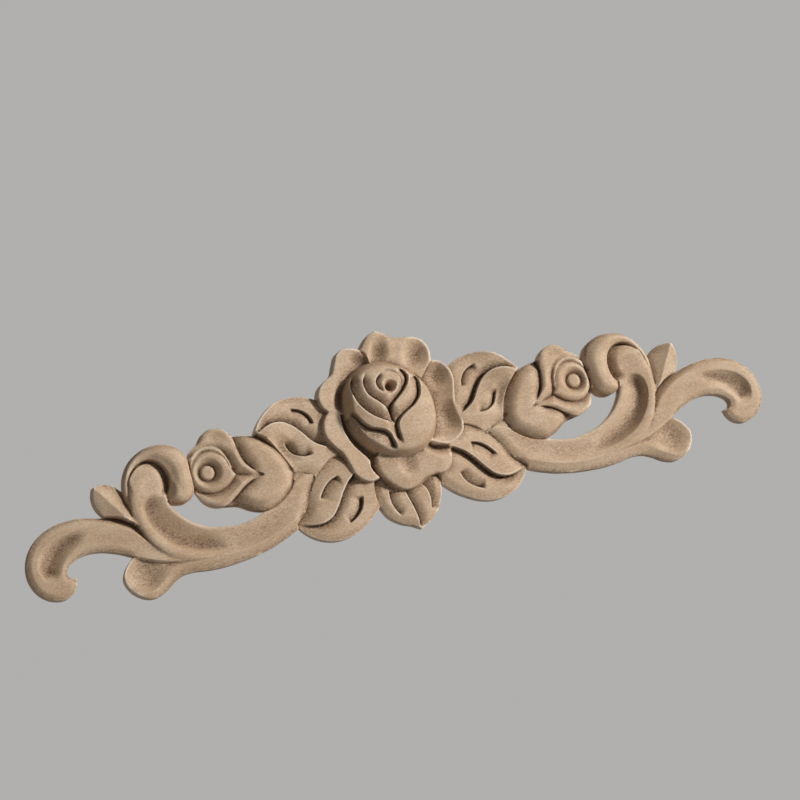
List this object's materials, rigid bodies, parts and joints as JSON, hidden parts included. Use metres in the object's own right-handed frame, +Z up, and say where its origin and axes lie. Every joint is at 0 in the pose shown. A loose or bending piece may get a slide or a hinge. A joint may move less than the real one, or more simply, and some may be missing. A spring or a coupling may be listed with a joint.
{
  "type": "carved wooden applique",
  "caption": "Carved wooden applique with a flat back: a rose on leaves between two mirrored scrolls, each with a bud, volute, sprout, lobe and curling tail.",
  "frame": {"origin": "on the flat back, behind the foot of the rose, midway between the two ends of the carving", "axes": "+X along the carving, +Y out of the flat back into the surface it is fixed to, +Z up, so that the carved face looks towards -Y"},
  "size_m": [0.4962, 0.022, 0.1267],
  "materials": {
    "pale_wood": "unfinished, sanded, matt"
  },
  "bodies": {
    "root": {"carved_applique": "pale_wood"}
  },
  "joints": []
}
